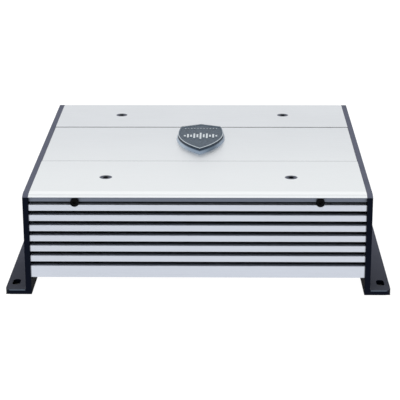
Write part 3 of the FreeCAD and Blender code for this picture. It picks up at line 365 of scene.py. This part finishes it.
def jack_insulators(name, split_z):
    """Two rows of insulators: red above, white below."""
    s = Surface(name, (0.6, 0.02, 0.02), roughness=0.3)
    upper = s.remap(s.axis("Z"), split_z - 0.1 * MM, split_z + 0.1 * MM, 0.0, 1.0)
    s.set("Base Color", s.blend(upper, (0.78, 0.77, 0.73), (0.58, 0.015, 0.02)))
    s.set("Roughness", s.remap(s.noise(0.4 * MM), 0.3, 0.7, 0.24, 0.40))
    s.relief(s.noise(0.3 * MM), 0.012 * MM)
    return s.material


def light_pipe(name):
    s = Surface(name, (0.75, 0.90, 0.82), roughness=0.12, Transmission_Weight=0.85, IOR=1.5)
    haze = s.noise(0.9 * MM, 3)
    s.set("Roughness", s.remap(haze, 0.3, 0.7, 0.08, 0.24))
    s.set("Base Color", s.blend(haze, (0.55, 0.85, 0.65), (0.85, 0.95, 0.90)))
    s.relief(haze, 0.01 * MM)
    return s.material


def badge_plate(name, floor_z):
    """The badge's plate: slate with a leathery cast grain, bright emblem and rim wall, and painted shade darkening
    the wall below floor_z.
    """
    dark, light, bright = (0.024, 0.046, 0.072), (0.068, 0.115, 0.168), (0.62, 0.68, 0.72)
    s = Surface(name, dark, metallic=0.8, roughness=0.45)
    s.soften(0.12 * MM)
    raised = s.remap(s.axis("Z"), floor_z + 0.10 * MM, floor_z + 0.18 * MM, 0.0, 1.0)
    rim_top = s.math("MULTIPLY", s.remap(s.axis("Z"), floor_z + 0.38 * MM, floor_z + 0.44 * MM, 0.0, 1.0),
                     s.remap(s.facing("Z"), 0.6, 0.8, 0.0, 1.0))
    raised = s.math("SUBTRACT", raised, rim_top)
    pebble = s.cells(1.1 * MM, "SMOOTH_F1")
    fine = s.noise(0.35 * MM, 4)
    mixed = s.math("ADD", s.math("MULTIPLY", pebble, 0.7), s.math("MULTIPLY", fine, 0.5))
    slate = s.blend(s.remap(mixed, 0.35, 0.85, 0.0, 1.0), light, dark)
    rubbed = s.blend(s.remap(fine, 0.35, 0.7, 0.0, 1.0), bright, [c * 0.85 for c in bright])
    # painted shade on the wall below floor_z
    wall = s.remap(s.axis("Z"), floor_z - 0.10 * MM, floor_z + 0.05 * MM, 1.0, 0.0)
    slate = s.blend(wall, slate, (0.012, 0.018, 0.028))
    s.set("Base Color", s.blend(raised, slate, rubbed))
    s.set("Roughness", s.math("SUBTRACT", s.remap(fine, 0.3, 0.7, 0.38, 0.56), s.math("MULTIPLY", raised, 0.16)))
    grain = s.math("MULTIPLY", s.math("SUBTRACT", 1.0, pebble), s.math("SUBTRACT", 1.0, raised))
    s.relief(grain, 0.16 * MM)
    s.relief(fine, 0.02 * MM)
    return s.material


def satin_chrome(name, colour, roughness, neck_z):
    """Smoked satin chrome with a painted reflection paler to the left, painted shade dimmer to the right, and painted
    shade that darkens upwards to the gap at neck_z.
    """
    s = Surface(name, colour, metallic=1.0, roughness=roughness)
    s.soften(0.15 * MM)
    brushed = s.noise(0.14 * MM, 3, (12, 1, 1))
    smear = s.noise(7 * MM, 4)
    tone = s.blend(s.remap(smear, 0.35, 0.7, 0.0, 1.0), colour, [c * 0.88 for c in colour])
    across = s.axis("X")
    # painted reflection: paler to the left
    tone = s.blend(s.remap(across, -14 * MM, -5 * MM, 0.45, 0.0), tone, (0.55, 0.66, 0.76))
    # painted shade: dimmer to the right
    dim_shade = s.math("MULTIPLY", s.remap(across, 1 * MM, 8 * MM, 0.0, 0.6), s.remap(across, 9 * MM, 15 * MM, 1.0, 0.0))
    tone = s.blend(dim_shade, tone, (0.045, 0.070, 0.095))
    # painted shade darkening upwards into the gap at neck_z
    neck_shade = s.remap(s.axis("Z"), neck_z - 0.8 * MM, neck_z, 0.0, 1.0)
    s.set("Base Color", s.blend(neck_shade, tone, (0.070, 0.100, 0.140)))
    s.set("Roughness", s.remap(s.math("ADD", brushed, s.math("MULTIPLY", smear, 0.3)), 0.4, 1.0,
                               roughness - 0.06, roughness + 0.10))
    s.relief(brushed, 0.008 * MM)
    return s.material


def ink(name, colour):
    """Screen-printed ink: slightly raised, patchy where it is thin."""
    s = Surface(name, colour, roughness=0.55)
    thin = s.noise(0.35 * MM, 4)
    s.set("Base Color", s.blend(s.remap(thin, 0.62, 0.75, 0.0, 0.4), colour, [c * 0.6 for c in colour]))
    s.set("Roughness", s.remap(thin, 0.3, 0.7, 0.48, 0.66))
    s.relief(thin, 0.01 * MM)
    return s.material


def socket_shadow(s):
    """The drive sockets of the top screws, and the dark that fades outwards from them over the heads."""
    return s.remap(screw_reach(s, 0.75), 1.1 * MM, 3.1 * MM, 1.0, 0.0)


def bore_shadow(s):
    """The wire bores of the terminal clamps, which open towards -X."""
    return s.remap(s.axis("X"), CLAMP_FACE + 0.5 * MM, CLAMP_FACE + 4.0 * MM, 0.0, 1.0)


SILVER = (0.575, 0.61, 0.68)
# Panel tones: the plain panel, painted light towards the front, a painted highlight behind the front nose, painted
# shade on the noses
PANEL, PANEL_FRONT_LIT = (0.70, 0.725, 0.755), (0.785, 0.81, 0.825)
PANEL_BEND_HIGHLIGHT, PANEL_NOSE_SHADE = (0.885, 0.91, 0.92), (0.72, 0.745, 0.76)
# Bracket tones: the black paint, then painted sheen along its top edge and on the up-facing faces of the feet
BLACK, BRACKET_TOP_SHEEN = (0.0008, 0.0024, 0.0085), (0.098, 0.106, 0.145)
FOOT_END_SHEEN, FOOT_MIDDLE_SHEEN = (0.048, 0.052, 0.070), (0.086, 0.092, 0.125)
NECK_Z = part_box("badge_face")[0].z - 0.9 * MM        # where the badge plinth's neck begins
RCA_MIDDLE = (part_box("rca_shells")[0].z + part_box("rca_shells")[1].z) / 2
CLAMP_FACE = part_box("terminal_clamps")[0].x

FINISHES = {
    "case_silver": anodised("anodised_extrusion", SILVER, 0.38, 1.2, fin_shading),
    "panel_silver": anodised("anodised_panel", PANEL, 0.40, 1.0, panel_shading),
    "bracket_black": bracket_paint("black_powder_coat"),
    "plate_black": powder_coat("black_painted_steel", (0.010, 0.010, 0.012), 0.5, 0.2),
    "badge_plinth": satin_chrome("smoked_chrome", (0.26, 0.33, 0.42), 0.30, NECK_Z),
    "badge_plate": badge_plate("slate_and_satin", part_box("badge_face")[0].z + 0.5 * MM),
    "screw_bright": plated("zinc_plate", (0.50, 0.51, 0.53), 0.30, (0.32, 0.31, 0.30)),
    "screw_nickel": plated("black_nickel", (0.155, 0.175, 0.230), 0.32, (0.10, 0.10, 0.12), socket_shadow, 0.5),
    "screw_black": powder_coat("black_oxide", (0.0014, 0.0016, 0.0026), 0.36, 0.05),
    "standoff_brass": plated("turned_brass", (0.78, 0.58, 0.25), 0.25),
    "board_green": solder_mask("solder_mask"),
    "thermal_pad": mineral("silicone_sheet", (0.46, 0.52, 0.58), 0.5 * MM, 0.8),
    "device_black": moulded("moulded_epoxy", (0.012, 0.012, 0.013), 0.6, 0.35),
    "clamp_aluminium": anodised("mill_aluminium", (0.70, 0.70, 0.71), 0.42, 2.0),
    "ferrite": mineral("ferrite", (0.030, 0.030, 0.033), 0.4 * MM, 0.7),
    "copper_winding": wound_copper("enamelled_copper"),
    "capacitor_sleeve": capacitor_sleeve("capacitor_sleeve"),
    "resistor_body": mineral("cement_body", (0.70, 0.68, 0.62), 0.6 * MM, 0.85),
    "housing_black": moulded("black_nylon", (0.010, 0.010, 0.011), 0.52, 0.4),
    "clamp_plated": plated("satin_gold_plate", (0.83, 0.62, 0.27), 0.24, hollow=bore_shadow),
    "contact_tin": plated("tin_plate", (0.62, 0.61, 0.59), 0.34, (0.36, 0.34, 0.31)),
    "set_screw_steel": plated("nickel_plate", (0.56, 0.57, 0.59), 0.30, (0.34, 0.33, 0.32)),
    "fuse_amber": fuse_plastic("tinted_polycarbonate"),
    "pot_blue": moulded("blue_phenolic", (0.020, 0.050, 0.160), 0.45),
    "knob_black": moulded("knob_plastic", (0.012, 0.012, 0.013), 0.38, 0.5),
    "lever_black": moulded("lever_plastic", (0.014, 0.014, 0.016), 0.42, 0.5),
    "rca_plating": plated("gold_plate", (0.90, 0.68, 0.28), 0.17),
    "rca_insulator": jack_insulators("jack_insulators", RCA_MIDDLE),
    "lens_clear": light_pipe("light_pipe"),
}
WHITE_INK = ink("white_ink", (0.72, 0.73, 0.74))


def finish_nodes():
    """Puts each CAD node's finish on its own material slots."""
    slot_of = {entry["node"]: entry["material_slot"] for entry in frame["record"]["subparts"]}
    for name, node in frame["nodes"].items():
        finish = FINISHES[slot_of[name]]
        if not node.data.materials:
            node.data.materials.append(finish)
        for index in range(len(node.data.materials)):
            node.data.materials[index] = finish


# ---- Mesh helpers ---------------------------------------------------------------------------------
def piece(name, mesh_maker, material, body="case"):
    """A new object whose mesh is made by mesh_maker(bm), riding on a body."""
    bm = bmesh.new()
    mesh_maker(bm)
    bmesh.ops.recalc_face_normals(bm, faces=bm.faces)
    mesh = bpy.data.meshes.new(name)
    bm.to_mesh(mesh)
    bm.free()
    made = bpy.data.objects.new(name, mesh)
    bpy.context.scene.collection.objects.link(made)
    mesh.materials.append(material)
    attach(made, body)


def loft(bm, rings):
    """Skins a list of closed rings, each a list of points with the same count in each, and caps both ends."""
    made = [[bm.verts.new(p) for p in ring] for ring in rings]
    count = len(made[0])
    for low, high in zip(made, made[1:]):
        for k in range(count):
            bm.faces.new((low[k], low[(k + 1) % count], high[(k + 1) % count], high[k]))
    bm.faces.new(list(reversed(made[0])))
    bm.faces.new(made[-1])


# ---- Printed marks on the end brackets ------------------------------------------------------------
INK_T = 0.06 * MM                # how far the ink stands out of the paint
INK_W = 0.45 * MM                # width of a plain line
INK_BITE = 0.02 * MM             # how far it reaches into the paint
KNOBS = ("knob_level", "knob_highpass", "knob_lowpass", "knob_bass")
GROUP_Z = 58.6 * MM              # height of the lines over the knobs


def capsule(start, end, width):
    """The (y, z) outline of a line with round ends."""
    (y0, z0), (y1, z1) = start, end
    turn = math.atan2(z1 - z0, y1 - y0)
    points = []
    for centre, first in ((start, turn + math.pi / 2), (end, turn - math.pi / 2)):
        for k in range(7):
            angle = first + k * math.pi / 6
            points.append((centre[0] + width / 2 * math.cos(angle), centre[1] + width / 2 * math.sin(angle)))
    return points


def ring_part(centre, radius, first, last, width):
    """The outline of an arc between two angles in degrees, from +Y towards +Z."""
    steps = max(4, int((last - first) / 8))
    angles = [math.radians(first + (last - first) * k / steps) for k in range(steps + 1)]
    outer = [(centre[0] + (radius + width / 2) * math.cos(a), centre[1] + (radius + width / 2) * math.sin(a))
             for a in angles]
    inner = [(centre[0] + (radius - width / 2) * math.cos(a), centre[1] + (radius - width / 2) * math.sin(a))
             for a in reversed(angles)]
    return outer + inner


def plus(centre, size, width):
    h, w, (cy, cz) = size / 2, width / 2, centre
    corner = [(w, w), (w, h), (-w, h), (-w, w), (-h, w), (-h, -w), (-w, -w), (-w, -h), (w, -h), (w, -w), (h, -w),
              (h, w)]
    return [(cy + y, cz + z) for y, z in corner]


def print_marks(name, face, outlines):
    """Ink on the bracket's outer face at x = face: one flat raised patch for each outline."""
    outwards = math.copysign(1.0, face)

    def build(bm):
        for outline in outlines:
            rings = [[(face + outwards * out, y, z) for y, z in outline] for out in (-INK_BITE, INK_T)]
            loft(bm, rings)
    piece(name, build, WHITE_INK)


def middle(node):
    low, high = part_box(node)
    return (low + high) / 2


def knob_scale(node):
    """Eleven ticks round a knob, the two ends and the middle longer."""
    centre, radius = middle(node), (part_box(node)[1].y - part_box(node)[0].y) / 2
    ticks = []
    for k in range(11):
        turn = math.radians(90 - 150 + 30 * k)
        reach = 3.1 * MM if k % 5 == 0 else 2.2 * MM
        ends = [(centre.y + r * math.cos(turn), centre.z + r * math.sin(turn))
                for r in (radius + 1.4 * MM, radius + reach)]
        ticks.append(capsule(*ends, INK_W * (1.3 if k % 5 == 0 else 0.8)))
    return ticks


def group_line(nodes, z, drop):
    """A line over a group of controls, turned down at its ends."""
    ys = [middle(node).y for node in nodes]
    y0, y1 = min(ys) - 7.0 * MM, max(ys) + 7.0 * MM
    return [capsule((y0, z), (y1, z), INK_W), capsule((y0, z), (y0, z - drop), INK_W),
            capsule((y1, z), (y1, z - drop), INK_W)]


def signal_marks():
    outlines = []
    for node in KNOBS:
        outlines += knob_scale(node)
    outlines += group_line(KNOBS[:1], GROUP_Z, 2.0 * MM) + group_line(KNOBS[1:], GROUP_Z, 2.0 * MM)
    for node in ("switch_lever_crossover", "switch_lever_input"):
        y, z = middle(node).y, middle(node).z
        for step, size in ((-2.0, 0.6), (0.0, 0.6), (2.0, 0.6)):
            outlines.append(ring_part((y + step * MM, z - 4.0 * MM), size * MM / 2, 0, 360, size * MM * 0.9))
    for row in stacked_centres("status_lenses"):
        outlines.append(ring_part((row[0], row[1]), 2.3 * MM, 0, 360, INK_W * 0.7))
    y, z = stacked_centres("status_lenses")[-1]
    outlines += [ring_part((y, z + 6.2 * MM), 1.6 * MM, 120, 420, INK_W),
                 capsule((y, z + 6.4 * MM), (y, z + 8.4 * MM), INK_W)]
    low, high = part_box("rca_block")
    outlines += [capsule((low.y, high.z + 2.6 * MM), (high.y, high.z + 2.6 * MM), INK_W),
                 capsule((low.y, high.z + 2.6 * MM), (low.y, high.z + 1.2 * MM), INK_W),
                 capsule((high.y, high.z + 2.6 * MM), (high.y, high.z + 1.2 * MM), INK_W)]
    jack = middle("remote_jack")
    outlines.append(ring_part((jack.y, jack.z), 5.2 * MM, 0, 360, INK_W))
    print_marks("signal_end_marks", RIGHT_FACE, outlines)


def stacked_centres(node):
    """The (y, z) centres of a two-solid node whose solids stand one above the other."""
    low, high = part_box(node)
    radius = (high.y - low.y) / 2
    return [((low.y + high.y) / 2, low.z + radius), ((low.y + high.y) / 2, high.z - radius)]


def power_marks():
    outlines = []
    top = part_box("power_terminal_housing")[1].z + 4.2 * MM
    positive, ground = middle("power_screw_positive").y, middle("power_screw_ground").y
    outlines.append(plus((positive, top), 4.2 * MM, 0.9 * MM))
    outlines.append(capsule((ground - 1.7 * MM, top), (ground + 1.7 * MM, top), 0.9 * MM))
    turn_on = middle("power_screw_remote").y
    outlines += [ring_part((turn_on, top), 1.6 * MM, 120, 420, INK_W), capsule((turn_on, top + 0.4 * MM),
                                                                              (turn_on, top + 2.3 * MM), INK_W)]
    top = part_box("speaker_terminal_housing")[1].z + 3.4 * MM
    screws = [f"speaker_screw_{k}" for k in (1, 2, 3, 4)]
    for k, node in enumerate(screws):
        y = middle(node).y
        if k % 2:
            outlines.append(capsule((y - 1.2 * MM, top), (y + 1.2 * MM, top), 0.7 * MM))
        else:
            outlines.append(plus((y, top), 3.1 * MM, 0.7 * MM))
    for pair in (screws[:2], screws[2:]):
        ys = sorted(middle(node).y for node in pair)
        line_z = top + 4.2 * MM
        outlines += [capsule((ys[0] - 3 * MM, line_z), (ys[1] + 3 * MM, line_z), INK_W),
                     capsule((ys[0] - 3 * MM, line_z), (ys[0] - 3 * MM, line_z - 1.4 * MM), INK_W),
                     capsule((ys[1] + 3 * MM, line_z), (ys[1] + 3 * MM, line_z - 1.4 * MM), INK_W)]
    print_marks("power_end_marks", LEFT_FACE, outlines)


def knob_pointers():
    """White ink in each knob's pointer slot."""
    for node in KNOBS:
        low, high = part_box(node)
        centre = (low + high) / 2
        floor = high.x - 0.8 * MM

        def build(bm, x=floor, y=centre.y, z=centre.z):
            outline = capsule((y, z + 0.9 * MM), (y, z + 3.7 * MM), 0.7 * MM)
            loft(bm, [[(x + step, py, pz) for py, pz in outline] for step in (-INK_BITE, 0.12 * MM)])
        piece(node.replace("knob", "pointer"), build, WHITE_INK, body=node)


# ---- Studio ---------------------------------------------------------------------------------------
CAMERA_DISTANCE = 1.091         # from the aim point
CAMERA_PITCH, CAMERA_YAW, CAMERA_ROLL = math.radians(18.2), math.radians(1.044), math.radians(-0.22)
CAMERA_LENS = 133.9
AIM = Vector((-0.0004, 0.0, 0.0270))


def camera():
    turn = Euler((math.pi / 2 - CAMERA_PITCH, 0.0, CAMERA_YAW)).to_matrix()
    data = bpy.data.cameras.new("camera")
    data.lens, data.sensor_width = CAMERA_LENS, 36.0
    data.clip_start, data.clip_end = 0.01, 50.0
    made = bpy.data.objects.new("camera", data)
    made.location = AIM + turn @ Vector((0.0, 0.0, CAMERA_DISTANCE))
    made.rotation_euler = (turn @ Matrix.Rotation(CAMERA_ROLL, 3, "Z")).to_euler()
    bpy.context.scene.collection.objects.link(made)
    bpy.context.scene.camera = made


def softbox(name, place, target, size, power):
    data = bpy.data.lights.new(name, "AREA")
    data.shape, data.size, data.size_y, data.energy = "RECTANGLE", size[0], size[1], power
    made = bpy.data.objects.new(name, data)
    made.location = place
    made.rotation_euler = (Vector(target) - Vector(place)).to_track_quat("-Z", "Y").to_euler()
    bpy.context.scene.collection.objects.link(made)


def studio():
    """An even white surround and a large soft light above."""
    world = bpy.data.worlds.new("surround")
    world.use_nodes = True
    world.node_tree.nodes["Background"].inputs["Color"].default_value = (1.0, 1.0, 1.0, 1.0)
    world.node_tree.nodes["Background"].inputs["Strength"].default_value = 1.0
    bpy.context.scene.world = world
    bpy.context.scene.view_settings.view_transform = "Standard"
    softbox("top_box", (0.0, -0.1, 1.4), (0.0, 0.0, 0.0), (1.4, 1.0), 3.0)


def floor():
    """A pale floor, in shadow under the feet. It can be seen through from below, to show the underside."""
    bm = bmesh.new()
    bmesh.ops.create_grid(bm, x_segments=8, y_segments=8, size=6.0)
    mesh = bpy.data.meshes.new("floor")
    bm.to_mesh(mesh)
    bm.free()
    ground = bpy.data.objects.new("floor", mesh)
    bpy.context.scene.collection.objects.link(ground)
    paint = Surface("floor_paint", (0.10, 0.10, 0.10), roughness=0.9, Specular_IOR_Level=0.05)
    paint.set("Emission Color", (1.0, 1.0, 1.0, 1.0))
    across = paint.math("ABSOLUTE", paint.axis("X"))
    beside = paint.math("MULTIPLY", paint.remap(across, RIGHT_FACE, RIGHT_FACE + 0.5 * MM, 0.0, 1.0),
                        paint.remap(across, FOOT_EDGE - 0.5 * MM, FOOT_EDGE, 1.0, 0.0))
    under_foot = paint.math("MULTIPLY", beside, paint.remap(paint.math("ABSOLUTE", paint.axis("Y")),
                                                            NOSE_Y - 0.5 * MM, NOSE_Y, 1.0, 0.0))
    paint.set("Emission Strength", paint.remap(under_foot, 0.0, 1.0, 1.0, 0.0))
    paint.set("Roughness", paint.remap(paint.noise(0.05), 0.3, 0.7, 0.86, 0.94))
    backface = paint.tree.nodes.new("ShaderNodeNewGeometry").outputs["Backfacing"]
    paint.set("Alpha", paint.math("SUBTRACT", 1.0, backface))
    mesh.materials.append(paint.material)


finish_nodes()
signal_marks()
power_marks()
knob_pointers()
camera()
studio()
floor()
